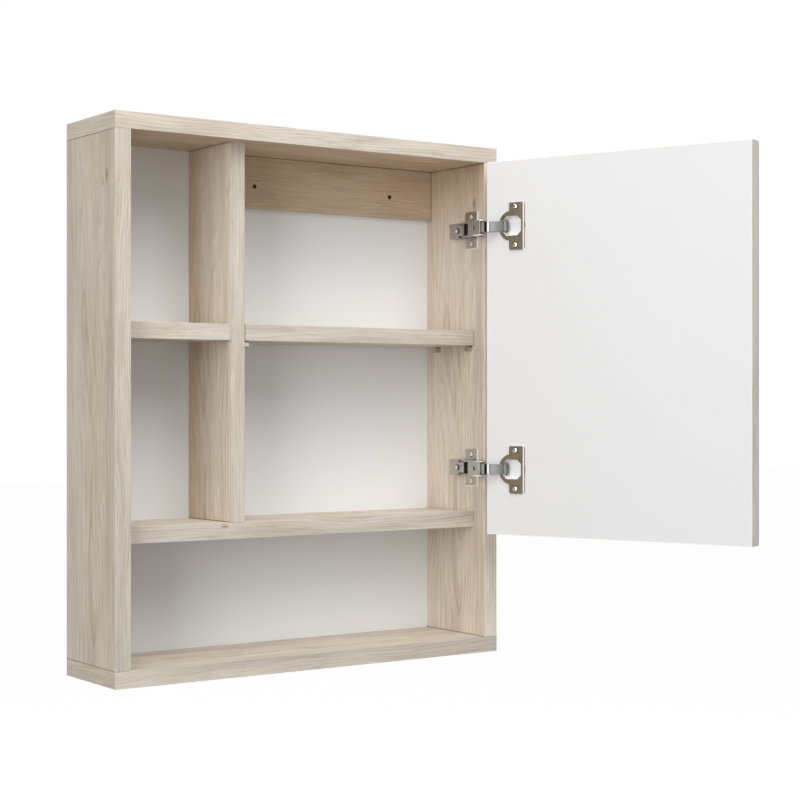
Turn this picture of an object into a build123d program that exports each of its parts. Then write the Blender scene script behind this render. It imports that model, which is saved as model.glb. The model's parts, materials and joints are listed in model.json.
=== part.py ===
from build123d import *

import os

os.makedirs("parts", exist_ok=True)

# Mirrored wall cabinet with one inset door, shown with the door open.
# All sizes are millimetres. X points right, Y points to the wall, Z points up.
# The origin lies midway between the two wall screws, on the wall side of the back panel.

# Case
case_width = 500.0
case_height = 600.0
case_depth = 120.0
board = 18.0
left_bay = 130.0
bottom_bay = 130.0
lower_space = 199.0
back_panel_thickness = 3.0
rebate_width = 9.0
band = 1.0
band_rounding = 0.4
loose_shelf_side_gap = 0.5
loose_shelf_back_gap = 1.0

# Hanging rail and wall screws
rail_height = 60.0
rail_thickness = 9.0
wall_screw_spacing = 190.0
wall_screw_drop = 35.0
wall_screw_hole_radius = 2.5

# Door
door_board = 16.0
tape_thickness = 1.0
glass_thickness = 3.0
glass_inset = 0.3
tape_width = 20.0
tape_margin = 12.0
tape_strips = 4
door_gap = 2.0
grip_overhang = 6.0
door_stop_gap = 1.0
open_angle = 111.0
pole_aside = 7.0
pole_ahead = 1.7

# Shelf supports
support_pin_radius = 2.5
support_pin_depth = 8.0
support_head_radius = 4.0
support_head_length = 7.0
support_flat = 0.8
support_front_inset = 6.5
support_spacing = 64.0

# Case screws, dowels, cam fittings and nails
case_screw_radius = 2.5
case_screw_head_radius = 4.5
case_screw_head_height = 2.5
case_screw_length = 50.0
case_screw_socket_width = 4.0
case_screw_socket_depth = 2.0
case_screw_back_inset = 25.0
case_screw_spacing = 50.0
dowel_radius = 4.0
dowel_depth_in_case = 12.0
dowel_depth_in_shelf = 18.0
dowel_back_inset = 20.0
dowel_spacing = 62.0
cam_radius = 7.5
cam_height = 12.5
cam_inset = 34.0
cam_slot_width = 1.6
cam_slot_depth = 2.5
cam_bolt_radius = 3.5
cam_bolt_thread_radius = 2.5
cam_bolt_thread_length = 11.0
cam_bolt_end = 2.0
rail_dowel_radius = 2.5
rail_dowel_depth = 10.0
rail_dowel_spacing = 36.0
nail_radius = 0.7
nail_head_radius = 1.6
nail_head_height = 0.6
nail_length = 15.0
nails_along_side = 5
nails_across = 3
nail_end_inset = 60.0

# Hinge, fixed half
hinge_inset = 76.8
plate_thickness = 1.5
plate_width = 24.0
plate_height = 45.0
plate_corner = 2.0
plate_front = 12.0
plate_screw_spacing = 32.0
plate_screw_radius = 1.75
plate_screw_head_radius = 3.4
plate_screw_length = 14.0
spine_height = 7.0
spine_half_width = 5.0
spine_front_gap = 4.0
arm_sheet = 1.2
arm_half_width = 9.0
tongue_half_width = 6.2
arm_hollow_half_width = 5.0
arm_stand_off = 12.0
arm_back = 54.0
arm_shoulder = 10.0
arm_corner = 1.0
arm_screw_radius = 2.0
arm_screw_head_radius = 3.5
arm_screw_head_height = 1.2
arm_screw_back_inset = 15.5
arm_screw_depth = 9.0

# Hinge, pivots and links
pin_radius = 1.6
pin_head_radius = 2.6
pin_head_height = 0.6
running_clearance = 0.1
open_pivot_clearance = 0.3
nose_radius = 4.5
arm_pivot_behind_door = 5.5
ear_radius = 4.3
bridge_sheet = 1.5
bridge_ear_sheet = 2.0
bridge_web_offset = 6.0
bridge_web_start = 13.0
bridge_rail_start = -2.0
bridge_web_overrun = 4.5
bridge_corner = 0.8
adjuster_along = 26.0
adjuster_radius = 1.2
adjuster_head_radius = 2.4
adjuster_head_height = 0.9
adjuster_length = 3.2
link_half_width = 5.8
link_thickness = 2.5
link_bow = 10.5
link_eye_radius = 3.2

# Hinge, cup in the door
cup_inset = 34.0
cup_radius = 17.5
cup_depth = 11.5
cup_floor = 1.0
cup_ring_radius = 17.8
pocket_width = 24.8
pocket_height = 23.0
pocket_corner = 5.0
notch_half_width = 7.0
notch_depth = 2.2
notch_overrun = 1.0
link_well_length = 3.2
link_well_half_width = 6.4
flange_thickness = 1.2
flange_width = 20.6
flange_height = 56.6
flange_inset = 40.8
flange_corner = 3.0
cup_pin_inset = 22.0
cup_pin_depth = 5.0
cup_pin_half_length = 10.5
cup_screw_inset = 38.8
cup_screw_spacing = 45.0
cup_screw_radius = 1.75
cup_screw_head_radius = 3.4
cup_screw_head_height = 1.3
cup_screw_depth = 13.0

# Cross recess of the small screws
cross_arm = 3.2
cross_width = 0.8
cross_depth = 0.7
small_cross_arm = 2.4

# Levels and faces that follow from the sizes above
right_bay = case_width - 3 * board - left_bay
right_inner = right_bay / 2
right_outer = right_inner + board
divider_right = -right_bay / 2
divider_left = divider_right - board
left_inner = divider_left - left_bay
left_outer = left_inner - board
front = -case_depth
back_front = -back_panel_thickness
top_low = wall_screw_drop
top_high = top_low + board
bottom_low = top_high - case_height
bottom_high = bottom_low + board
middle_low = bottom_high + bottom_bay
middle_high = middle_low + board
small_low = middle_high + lower_space
small_high = small_low + board
door_thickness = door_board + tape_thickness + glass_thickness
shelf_front = front + door_thickness + door_stop_gap
rail_low = top_low - rail_height
rail_front = back_front - rail_thickness

# Door in its own plane: X runs from the hinge edge, Y goes into the board from its inner face
door_low = middle_low - grip_overhang
door_high = top_low - door_gap
door_width = right_inner - door_gap - divider_left
pole = Vector(right_inner + pole_aside, front - pole_ahead, 0)
closed_corner = Vector(right_inner - door_gap, front + door_thickness, 0)
open_corner = pole + (closed_corner - pole).rotate(Axis.Z, open_angle)
open_direction = Vector(-1, 0, 0).rotate(Axis.Z, open_angle)
door_frame = Plane(origin=open_corner, x_dir=open_direction, z_dir=(0, 0, 1))
hinge_levels = {"upper": door_high - hinge_inset, "lower": door_low + hinge_inset}

# Hinge pivots. Pole, arm pivot, bridge pivot and cup pivot form a parallelogram at every
# angle, so the bridge turns with the door and the link keeps its direction.
arm_face = right_inner - arm_stand_off
arm_pivot = Vector(arm_face + nose_radius, front + door_thickness + arm_pivot_behind_door, 0)
cup_pivot = door_frame.from_local_coords(Vector(cup_pin_inset, cup_pin_depth, 0))
bridge_pivot = arm_pivot + (cup_pivot - pole)
bridge_length = (bridge_pivot - arm_pivot).length
link_length = (cup_pivot - bridge_pivot).length


def save(piece, name):
    piece.part.label = name
    export_step(piece.part, f"parts/{name}.step")


def block(low, high, mode=Mode.ADD):
    # A box between two opposite corners
    size = Vector(*high) - Vector(*low)
    with Locations((Vector(*high) + Vector(*low)) / 2):
        Box(size.X, size.Y, size.Z, mode=mode)


def rod(start, direction, radius, length, mode=Mode.ADD):
    # A cylinder from a point along a direction
    with Locations(Plane(origin=start, z_dir=direction)):
        Cylinder(radius, length, align=(Align.CENTER, Align.CENTER, Align.MIN), mode=mode)


def countersunk(start, direction, head_radius, head_height, radius, length, mode=Mode.ADD):
    # A screw with a flat countersunk head, from the face of its head
    with Locations(Plane(origin=start, z_dir=direction)):
        Cone(head_radius, radius, head_height, align=(Align.CENTER, Align.CENTER, Align.MIN), mode=mode)
        Cylinder(radius, length, align=(Align.CENTER, Align.CENTER, Align.MIN), mode=mode)


def cross_recess(start, direction, arm):
    with Locations(Plane(origin=start, z_dir=direction)):
        for sides in ((arm, cross_width), (cross_width, arm)):
            Box(*sides, cross_depth, align=(Align.CENTER, Align.CENTER, Align.MIN), mode=Mode.SUBTRACT)


def front_band(name, left, right, y, low, high):
    # A thin edge strip on the front of a board, its outer long edges rounded
    with BuildPart() as strip:
        block((left, y, low), (right, y + band, high))
        long_axis = Axis.X if right - left > high - low else Axis.Z
        fillet(strip.edges().filter_by(long_axis).group_by(Axis.Y)[0], band_rounding)
    save(strip, name)


# Places of the hidden fasteners, as pairs of a point and the direction into the wood
screw_rows = [-case_screw_back_inset, -case_screw_back_inset - case_screw_spacing]
screw_lines = [
    (right_inner + board / 2, top_high, -1),
    (left_inner - board / 2, top_high, -1),
    (divider_right - board / 2, top_high, -1),
    (right_inner + board / 2, bottom_low, 1),
    (left_inner - board / 2, bottom_low, 1),
    (divider_right - board / 2, middle_low, 1),
]
case_screw_places = [(Vector(x, y, z), Vector(0, 0, way)) for x, z, way in screw_lines for y in screw_rows]

middle_centre = (middle_low + middle_high) / 2
small_centre = (small_low + small_high) / 2
dowel_rows = [-dowel_back_inset, -dowel_back_inset - dowel_spacing]
dowel_lines = [
    (right_inner, middle_centre, -1),
    (left_inner, middle_centre, 1),
    (left_inner, small_centre, 1),
    (divider_left, small_centre, -1),
]
cam_row = -dowel_back_inset - dowel_spacing / 2
cam_ends = [(right_inner, -1), (left_inner, 1)]

rail_centre_y = (rail_front + back_front) / 2
rail_dowel_middle = (rail_low + top_low) / 2
rail_dowel_levels = [rail_dowel_middle - rail_dowel_spacing / 2, rail_dowel_middle + rail_dowel_spacing / 2]
rail_ends = [(right_inner, -1), (divider_right, 1)]

nail_lane = rebate_width / 2
nail_x = [left_inner - nail_lane, right_inner + nail_lane]
nail_z = [bottom_high - nail_lane, top_low + nail_lane]
nail_step_z = (top_low - bottom_high - 2 * nail_end_inset) / (nails_along_side - 1)
nail_step_x = (right_inner - left_inner - 2 * nail_end_inset) / (nails_across - 1)
nail_places = [
    Vector(x, 0, bottom_high + nail_end_inset + nail_step_z * i) for x in nail_x for i in range(nails_along_side)
]
nail_places += [
    Vector(left_inner + nail_end_inset + nail_step_x * i, 0, z) for z in nail_z for i in range(nails_across)
]

support_axis_z = small_low - (support_head_radius - support_flat)
support_front_y = shelf_front + support_front_inset
support_rows = [support_front_y, support_front_y + support_spacing]
support_ends = [(right_inner, 1), (divider_right, -1)]
support_places = [(Vector(x, y, support_axis_z), Vector(way, 0, 0)) for x, way in support_ends for y in support_rows]

plate_screw_y = front + plate_front + plate_width / 2
plate_surface = right_inner - plate_thickness
plate_screw_places = [
    Vector(plate_surface, plate_screw_y, level + side * plate_screw_spacing / 2)
    for level in hinge_levels.values()
    for side in (-1, 1)
]
wall_screw_x = [-wall_screw_spacing / 2, wall_screw_spacing / 2]


# Everything that is bored into the boards of the case, used only to cut them
with BuildPart(mode=Mode.PRIVATE) as case_bores:
    for place, into in case_screw_places:
        countersunk(place, into, case_screw_head_radius, case_screw_head_height, case_screw_radius, case_screw_length)
    for x, z, way in dowel_lines:
        for y in dowel_rows:
            start = Vector(x - way * dowel_depth_in_case, y, z)
            rod(start, (way, 0, 0), dowel_radius, dowel_depth_in_case + dowel_depth_in_shelf)
    for x, way in cam_ends:
        thread_start = Vector(x - way * cam_bolt_thread_length, cam_row, middle_centre)
        rod(thread_start, (way, 0, 0), cam_bolt_thread_radius, cam_bolt_thread_length)
        rod(Vector(x, cam_row, middle_centre), (way, 0, 0), cam_bolt_radius, cam_inset)
        rod(Vector(x + way * cam_inset, cam_row, middle_low), (0, 0, 1), cam_radius, cam_height)
    for x, way in rail_ends:
        for z in rail_dowel_levels:
            start = Vector(x - way * rail_dowel_depth, rail_centre_y, z)
            rod(start, (way, 0, 0), rail_dowel_radius, 2 * rail_dowel_depth)
    for place in nail_places:
        rod(place, (0, -1, 0), nail_radius, nail_length)
        rod(place, (0, -1, 0), nail_head_radius, nail_head_height)
    for place, into in support_places:
        rod(place, into, support_pin_radius, support_pin_depth)
    for place in plate_screw_places:
        countersunk(place, (1, 0, 0), plate_screw_head_radius, plate_thickness, plate_screw_radius, plate_screw_length)


# Case boards
with BuildPart() as top_panel:
    block((left_outer + band, front + band, top_low), (right_outer - band, 0, top_high))
    rebate_left = left_inner - rebate_width
    rebate_right = right_inner + rebate_width
    block((rebate_left, back_front, top_low), (rebate_right, 0, top_low + rebate_width), mode=Mode.SUBTRACT)
    add(case_bores.part, mode=Mode.SUBTRACT)
save(top_panel, "top_panel")

with BuildPart() as bottom_panel:
    block((left_outer + band, front + band, bottom_low), (right_outer - band, 0, bottom_high))
    block((rebate_left, back_front, bottom_high - rebate_width), (rebate_right, 0, bottom_high), mode=Mode.SUBTRACT)
    add(case_bores.part, mode=Mode.SUBTRACT)
save(bottom_panel, "bottom_panel")

with BuildPart() as left_side_panel:
    block((left_outer, front + band, bottom_high), (left_inner, 0, top_low))
    block((rebate_left, back_front, bottom_high), (left_inner, 0, top_low), mode=Mode.SUBTRACT)
    add(case_bores.part, mode=Mode.SUBTRACT)
save(left_side_panel, "left_side_panel")

with BuildPart() as right_side_panel:
    block((right_inner, front + band, bottom_high), (right_outer, 0, top_low))
    block((right_inner, back_front, bottom_high), (rebate_right, 0, top_low), mode=Mode.SUBTRACT)
    add(case_bores.part, mode=Mode.SUBTRACT)
save(right_side_panel, "right_side_panel")

with BuildPart() as middle_shelf:
    block((left_inner, shelf_front + band, middle_low), (right_inner, back_front, middle_high))
    add(case_bores.part, mode=Mode.SUBTRACT)
save(middle_shelf, "middle_shelf")

with BuildPart() as divider_panel:
    block((divider_left, shelf_front + band, middle_high), (divider_right, back_front, top_low))
    add(case_bores.part, mode=Mode.SUBTRACT)
save(divider_panel, "divider_panel")

with BuildPart() as left_shelf:
    block((left_inner, shelf_front + band, small_low), (divider_left, back_front, small_high))
    add(case_bores.part, mode=Mode.SUBTRACT)
save(left_shelf, "left_shelf")

loose_left = divider_right + loose_shelf_side_gap
loose_right = right_inner - loose_shelf_side_gap
with BuildPart() as right_shelf:
    block((loose_left, shelf_front + band, small_low), (loose_right, back_front - loose_shelf_back_gap, small_high))
save(right_shelf, "right_shelf")

with BuildPart() as hanging_rail:
    block((divider_right, rail_front, rail_low), (right_inner, back_front, top_low))
    for x in wall_screw_x:
        rod(Vector(x, rail_front, 0), (0, 1, 0), wall_screw_hole_radius, rail_thickness, mode=Mode.SUBTRACT)
    add(case_bores.part, mode=Mode.SUBTRACT)
save(hanging_rail, "hanging_rail")

with BuildPart() as back_panel:
    back_low = bottom_high - rebate_width
    block((rebate_left, back_front, back_low), (rebate_right, 0, top_low + rebate_width))
    for x in wall_screw_x:
        rod(Vector(x, back_front, 0), (0, 1, 0), wall_screw_hole_radius, back_panel_thickness, mode=Mode.SUBTRACT)
    add(case_bores.part, mode=Mode.SUBTRACT)
save(back_panel, "back_panel")


# Edge strips of the case
front_band("top_edge_band", left_outer, right_outer, front, top_low, top_high)
front_band("bottom_edge_band", left_outer, right_outer, front, bottom_low, bottom_high)
front_band("left_side_edge_band", left_outer, left_inner, front, bottom_high, top_low)
front_band("right_side_edge_band", right_inner, right_outer, front, bottom_high, top_low)
front_band("middle_shelf_edge_band", left_inner, right_inner, shelf_front, middle_low, middle_high)
front_band("divider_edge_band", divider_left, divider_right, shelf_front, middle_high, top_low)
front_band("left_shelf_edge_band", left_inner, divider_left, shelf_front, small_low, small_high)
front_band("right_shelf_edge_band", loose_left, loose_right, shelf_front, small_low, small_high)

for end_name, low, high in (("top", top_low, top_high), ("bottom", bottom_low, bottom_high)):
    with BuildPart() as end_bands:
        for x, way in ((left_outer, 1), (right_outer, -1)):
            block((min(x, x + way * band), front + band, low), (max(x, x + way * band), 0, high))
    save(end_bands, f"{end_name}_end_bands")


# Fasteners of the case
with BuildPart() as case_screws:
    for place, into in case_screw_places:
        countersunk(place, into, case_screw_head_radius, case_screw_head_height, case_screw_radius, case_screw_length)
        with BuildSketch(Plane(origin=place, z_dir=into)):
            RegularPolygon(case_screw_socket_width / 2, side_count=6, major_radius=False)
        extrude(amount=case_screw_socket_depth, mode=Mode.SUBTRACT)
save(case_screws, "case_screws")

with BuildPart() as case_dowels:
    for x, z, way in dowel_lines:
        for y in dowel_rows:
            start = Vector(x - way * dowel_depth_in_case, y, z)
            rod(start, (way, 0, 0), dowel_radius, dowel_depth_in_case + dowel_depth_in_shelf)
save(case_dowels, "case_dowels")

bolt_reach = cam_inset - cam_bolt_end
with BuildPart() as cam_bolts:
    for x, way in cam_ends:
        thread_start = Vector(x - way * cam_bolt_thread_length, cam_row, middle_centre)
        rod(thread_start, (way, 0, 0), cam_bolt_thread_radius, cam_bolt_thread_length)
        rod(Vector(x, cam_row, middle_centre), (way, 0, 0), cam_bolt_radius, bolt_reach)
save(cam_bolts, "cam_bolts")

with BuildPart() as cam_locks:
    for x, way in cam_ends:
        rod(Vector(x + way * cam_inset, cam_row, middle_low), (0, 0, 1), cam_radius, cam_height)
        rod(Vector(x, cam_row, middle_centre), (way, 0, 0), cam_bolt_radius, bolt_reach, mode=Mode.SUBTRACT)
        with Locations((x + way * cam_inset, cam_row, middle_low + cam_slot_depth / 2)):
            Box(2 * cam_radius, cam_slot_width, cam_slot_depth, mode=Mode.SUBTRACT)
save(cam_locks, "cam_locks")

with BuildPart() as rail_dowels:
    for x, way in rail_ends:
        for z in rail_dowel_levels:
            start = Vector(x - way * rail_dowel_depth, rail_centre_y, z)
            rod(start, (way, 0, 0), rail_dowel_radius, 2 * rail_dowel_depth)
save(rail_dowels, "rail_dowels")

with BuildPart() as back_panel_nails:
    for place in nail_places:
        rod(place, (0, -1, 0), nail_radius, nail_length)
        rod(place, (0, -1, 0), nail_head_radius, nail_head_height)
save(back_panel_nails, "back_panel_nails")

with BuildPart() as shelf_supports:
    for place, into in support_places:
        rod(place, into, support_pin_radius, support_pin_depth)
        rod(place, -into, support_head_radius, support_head_length)
        flat_centre = place - into * (support_head_length / 2) + Vector(0, 0, support_head_radius)
        with Locations(flat_centre):
            Box(support_head_length, 2 * support_head_radius, 2 * support_flat, mode=Mode.SUBTRACT)
save(shelf_supports, "shelf_supports")


# Door, built where it stands open
def door_plane(level):
    return door_frame.offset(level)


def cup_plane(level):
    # On the inner face of the door at a cup's centre: X away from the hinge edge, Z out of the face
    origin = door_plane(level).from_local_coords(Vector(cup_inset, 0, 0))
    return Plane(origin=origin, x_dir=open_direction, z_dir=-door_frame.y_dir)


cup_screw_spots = [(cup_screw_inset - cup_inset, side * cup_screw_spacing / 2) for side in (-1, 1)]

with BuildPart(door_frame) as door_panel:
    block((band, 0, door_low + band), (door_width - band, door_board, door_high - band))
    for level in hinge_levels.values():
        with BuildSketch(cup_plane(level)):
            Circle(cup_radius)
        extrude(amount=-cup_depth, mode=Mode.SUBTRACT)
        with BuildSketch(cup_plane(level)):
            with Locations(*cup_screw_spots):
                Circle(cup_screw_radius)
        extrude(amount=-cup_screw_depth, mode=Mode.SUBTRACT)
save(door_panel, "door_panel")

door_bands = {
    "door_top_band": ((0, door_high - band), (door_width, door_high)),
    "door_bottom_band": ((0, door_low), (door_width, door_low + band)),
    "door_hinge_side_band": ((0, door_low + band), (band, door_high - band)),
    "door_free_side_band": ((door_width - band, door_low + band), (door_width, door_high - band)),
}
for band_name, (low_corner, high_corner) in door_bands.items():
    with BuildPart(door_frame) as door_band:
        block((low_corner[0], 0, low_corner[1]), (high_corner[0], door_board, high_corner[1]))
    save(door_band, band_name)

glass_back = door_board + tape_thickness
with BuildPart(door_frame) as mirror_glass:
    block(
        (glass_inset, glass_back, door_low + glass_inset),
        (door_width - glass_inset, door_thickness, door_high - glass_inset),
    )
save(mirror_glass, "mirror_glass")

tape_step = (door_width - 2 * tape_margin - tape_width) / (tape_strips - 1)
with BuildPart(door_frame) as mirror_tapes:
    for i in range(tape_strips):
        tape_left = tape_margin + tape_step * i
        block(
            (tape_left, door_board, door_low + tape_margin),
            (tape_left + tape_width, glass_back, door_high - tape_margin),
        )
save(mirror_tapes, "mirror_tapes")


# Hinges
def hinge_plate(level):
    with BuildPart() as plate:
        with BuildSketch(Plane.YZ.offset(right_inner)):
            with Locations((plate_screw_y, level)):
                RectangleRounded(plate_width, plate_height, plate_corner)
        extrude(amount=-plate_thickness)
        spine_front = arm_pivot.Y + spine_front_gap
        spine_back = front + arm_back
        spine_low = (plate_surface - spine_height, spine_front, level - spine_half_width)
        block(spine_low, (right_inner, spine_back, level + spine_half_width))
        for place in plate_screw_places:
            countersunk(
                place,
                (1, 0, 0),
                plate_screw_head_radius,
                plate_thickness,
                plate_screw_radius,
                plate_screw_length,
                mode=Mode.SUBTRACT,
            )
        rod(arm_screw_place(level), (1, 0, 0), arm_screw_radius, arm_screw_depth, mode=Mode.SUBTRACT)
    return plate


def arm_screw_place(level):
    return Vector(arm_face, front + arm_back - arm_screw_back_inset, level)


def hinge_arm(level):
    arm_foot = arm_pivot.X + nose_radius
    shoulder_y = arm_pivot.Y + arm_shoulder
    back_y = front + arm_back
    with BuildPart() as arm:
        block((arm_face, shoulder_y, level - arm_half_width), (arm_foot, back_y, level + arm_half_width))
        block((arm_face, arm_pivot.Y, level - tongue_half_width), (arm_foot, shoulder_y, level + tongue_half_width))
        rod(Vector(arm_pivot.X, arm_pivot.Y, level - tongue_half_width), (0, 0, 1), nose_radius, 2 * tongue_half_width)
        fillet(arm.edges().filter_by(Axis.Y).group_by(Axis.X)[0], arm_corner)
        hollow_low = (arm_face + arm_sheet, arm_pivot.Y, level - arm_hollow_half_width)
        block(hollow_low, (arm_foot, back_y, level + arm_hollow_half_width), mode=Mode.SUBTRACT)
        nose_low = (arm_face, arm_pivot.Y - nose_radius, level - arm_hollow_half_width)
        block(nose_low, (arm_foot, arm_pivot.Y, level + arm_hollow_half_width), mode=Mode.SUBTRACT)
        pin_start = Vector(arm_pivot.X, arm_pivot.Y, level - arm_half_width)
        rod(pin_start, (0, 0, 1), pin_radius, 2 * arm_half_width, mode=Mode.SUBTRACT)
        rod(arm_screw_place(level), (1, 0, 0), arm_screw_radius, arm_sheet, mode=Mode.SUBTRACT)
    return arm


def pivot_pin(centre, level, head_gap):
    # A headed pin across the ears, its heads a gap away from their outer faces
    half_length = arm_half_width + head_gap
    with BuildPart() as pin:
        rod(Vector(centre.X, centre.Y, level - half_length), (0, 0, 1), pin_radius, 2 * half_length)
        for side in (-1, 1):
            head_start = Vector(centre.X, centre.Y, level + side * half_length)
            rod(head_start, (0, 0, side), pin_head_radius, pin_head_height)
    return pin


def bridge_plane(level):
    along = bridge_pivot - arm_pivot
    return Plane(origin=arm_pivot + Vector(0, 0, level), x_dir=along, z_dir=(0, 0, 1))


def adjuster_place(level):
    return bridge_plane(level).from_local_coords(Vector(adjuster_along, -bridge_web_offset, 0))


def hinge_bridge(level):
    plane = bridge_plane(level)
    web_end = bridge_length + bridge_web_overrun
    web_length = web_end - bridge_web_start
    web_middle = bridge_web_start + web_length / 2
    rail_length = web_end - bridge_rail_start
    with BuildPart() as bridge:
        for ear_low in (-arm_half_width, arm_half_width - bridge_ear_sheet):
            with BuildSketch(plane.offset(ear_low)):
                with Locations((bridge_length / 2, 0)):
                    SlotCenterToCenter(bridge_length, 2 * ear_radius)
                with Locations((web_end - rail_length / 2, -bridge_web_offset / 2)):
                    Rectangle(rail_length, bridge_web_offset)
            extrude(amount=bridge_ear_sheet)
        with BuildSketch(plane.offset(-arm_half_width)):
            with Locations((web_middle, bridge_sheet / 2 - bridge_web_offset)):
                Rectangle(web_length, bridge_sheet)
        extrude(amount=2 * arm_half_width)
        web_edges = bridge.edges().filter_by(Axis(plane.origin, plane.x_dir))
        outer_edges = web_edges.sort_by(lambda edge: plane.to_local_coords(edge.center()).Y)[:2]
        fillet(outer_edges, bridge_corner)
        pin_start = arm_pivot + Vector(0, 0, level - arm_half_width)
        rod(pin_start, (0, 0, 1), pin_radius + running_clearance, 2 * arm_half_width, mode=Mode.SUBTRACT)
        pin_start = bridge_pivot + Vector(0, 0, level - arm_half_width)
        rod(pin_start, (0, 0, 1), pin_radius, 2 * arm_half_width, mode=Mode.SUBTRACT)
        rod(adjuster_place(level), plane.y_dir, adjuster_radius, adjuster_length, mode=Mode.SUBTRACT)
    return bridge


def hinge_adjuster(level):
    into = bridge_plane(level).y_dir
    head_face = adjuster_place(level) - into * adjuster_head_height
    with BuildPart() as adjuster:
        rod(adjuster_place(level), into, adjuster_radius, adjuster_length)
        rod(head_face, into, adjuster_head_radius, adjuster_head_height)
        cross_recess(head_face, into, small_cross_arm)
    return adjuster


def hinge_link(level):
    origin = bridge_pivot + Vector(0, 0, level - link_half_width)
    plane = Plane(origin=origin, x_dir=cup_pivot - bridge_pivot, z_dir=(0, 0, 1))
    with BuildPart() as link:
        with BuildSketch(plane):
            with BuildLine():
                ThreePointArc((0, 0), (link_length / 2, -link_bow), (link_length, 0))
            trace(line_width=link_thickness)
            with Locations((0, 0), (link_length, 0)):
                Circle(link_eye_radius)
            with Locations((0, 0)):
                Circle(pin_radius + running_clearance, mode=Mode.SUBTRACT)
            with Locations((link_length, 0)):
                Circle(pin_radius + open_pivot_clearance, mode=Mode.SUBTRACT)
        extrude(amount=2 * link_half_width)
    return link


def cup_opening(plane, pocket_bottom, notch_bottom):
    # The eight-cornered pocket, the well of the pivot and the notch of the link, used only to cut
    notch_length = cup_ring_radius - pocket_width / 2 + notch_overrun
    with BuildPart(mode=Mode.PRIVATE) as opening:
        with BuildSketch(plane.offset(flange_thickness)):
            pocket = Rectangle(pocket_width, pocket_height)
            chamfer(pocket.vertices(), pocket_corner)
            with Locations((-(pocket_width + link_well_length) / 2, 0)):
                Rectangle(link_well_length, 2 * link_well_half_width)
        extrude(amount=-pocket_bottom - flange_thickness)
        with BuildSketch(plane.offset(flange_thickness)):
            with Locations((-(pocket_width + notch_length) / 2, 0)):
                Rectangle(notch_length, 2 * notch_half_width)
        extrude(amount=-notch_bottom - flange_thickness)
    return opening.part


def hinge_cup(level):
    plane = cup_plane(level)
    with BuildPart() as cup:
        with BuildSketch(plane):
            Circle(cup_radius)
        extrude(amount=-cup_depth)
        add(cup_opening(plane, cup_depth - cup_floor, notch_depth), mode=Mode.SUBTRACT)
        pin_start = cup_pivot + Vector(0, 0, level - cup_pin_half_length)
        rod(pin_start, (0, 0, 1), pin_radius, 2 * cup_pin_half_length, mode=Mode.SUBTRACT)
    return cup


def hinge_flange(level):
    plane = cup_plane(level)
    with BuildPart() as flange:
        with BuildSketch(plane):
            Circle(cup_ring_radius)
            with Locations((flange_inset - cup_inset, 0)):
                RectangleRounded(flange_width, flange_height, flange_corner)
        extrude(amount=flange_thickness)
        add(cup_opening(plane, 0, 0), mode=Mode.SUBTRACT)
        with BuildSketch(plane.offset(flange_thickness)):
            with Locations(*cup_screw_spots):
                Circle(cup_screw_radius)
        extrude(amount=-flange_thickness, mode=Mode.SUBTRACT)
    return flange


def cup_pin(level):
    with BuildPart() as pin:
        pin_start = cup_pivot + Vector(0, 0, level - cup_pin_half_length)
        rod(pin_start, (0, 0, 1), pin_radius, 2 * cup_pin_half_length)
    return pin


for place, level in hinge_levels.items():
    save(hinge_plate(level), f"{place}_hinge_plate")
    save(hinge_arm(level), f"{place}_hinge_arm")
    save(pivot_pin(arm_pivot, level, running_clearance), f"{place}_hinge_arm_pin")
    save(hinge_bridge(level), f"{place}_hinge_bridge")
    save(pivot_pin(bridge_pivot, level, 0), f"{place}_hinge_bridge_pin")
    save(hinge_adjuster(level), f"{place}_hinge_adjusting_screw")
    save(hinge_link(level), f"{place}_hinge_link")
    save(hinge_cup(level), f"{place}_hinge_cup")
    save(hinge_flange(level), f"{place}_hinge_flange")
    save(cup_pin(level), f"{place}_hinge_cup_pin")

with BuildPart() as plate_screws:
    for place in plate_screw_places:
        countersunk(
            place, (1, 0, 0), plate_screw_head_radius, plate_thickness, plate_screw_radius, plate_screw_length
        )
        cross_recess(place, (1, 0, 0), cross_arm)
save(plate_screws, "plate_screws")

with BuildPart() as arm_screws:
    for level in hinge_levels.values():
        head_face = arm_screw_place(level) - Vector(arm_screw_head_height, 0, 0)
        rod(arm_screw_place(level), (1, 0, 0), arm_screw_radius, arm_screw_depth)
        rod(head_face, (1, 0, 0), arm_screw_head_radius, arm_screw_head_height)
        cross_recess(head_face, (1, 0, 0), cross_arm)
save(arm_screws, "arm_screws")

with BuildPart() as cup_screws:
    for level in hinge_levels.values():
        out = cup_plane(level).z_dir
        for spot in cup_screw_spots:
            seat = cup_plane(level).from_local_coords(Vector(spot[0], spot[1], flange_thickness))
            head_face = seat + out * cup_screw_head_height
            rod(seat, -out, cup_screw_radius, cup_screw_depth + flange_thickness)
            rod(head_face, -out, cup_screw_head_radius, cup_screw_head_height)
            cross_recess(head_face, -out, cross_arm)
save(cup_screws, "cup_screws")
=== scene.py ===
import json
import math

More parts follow.
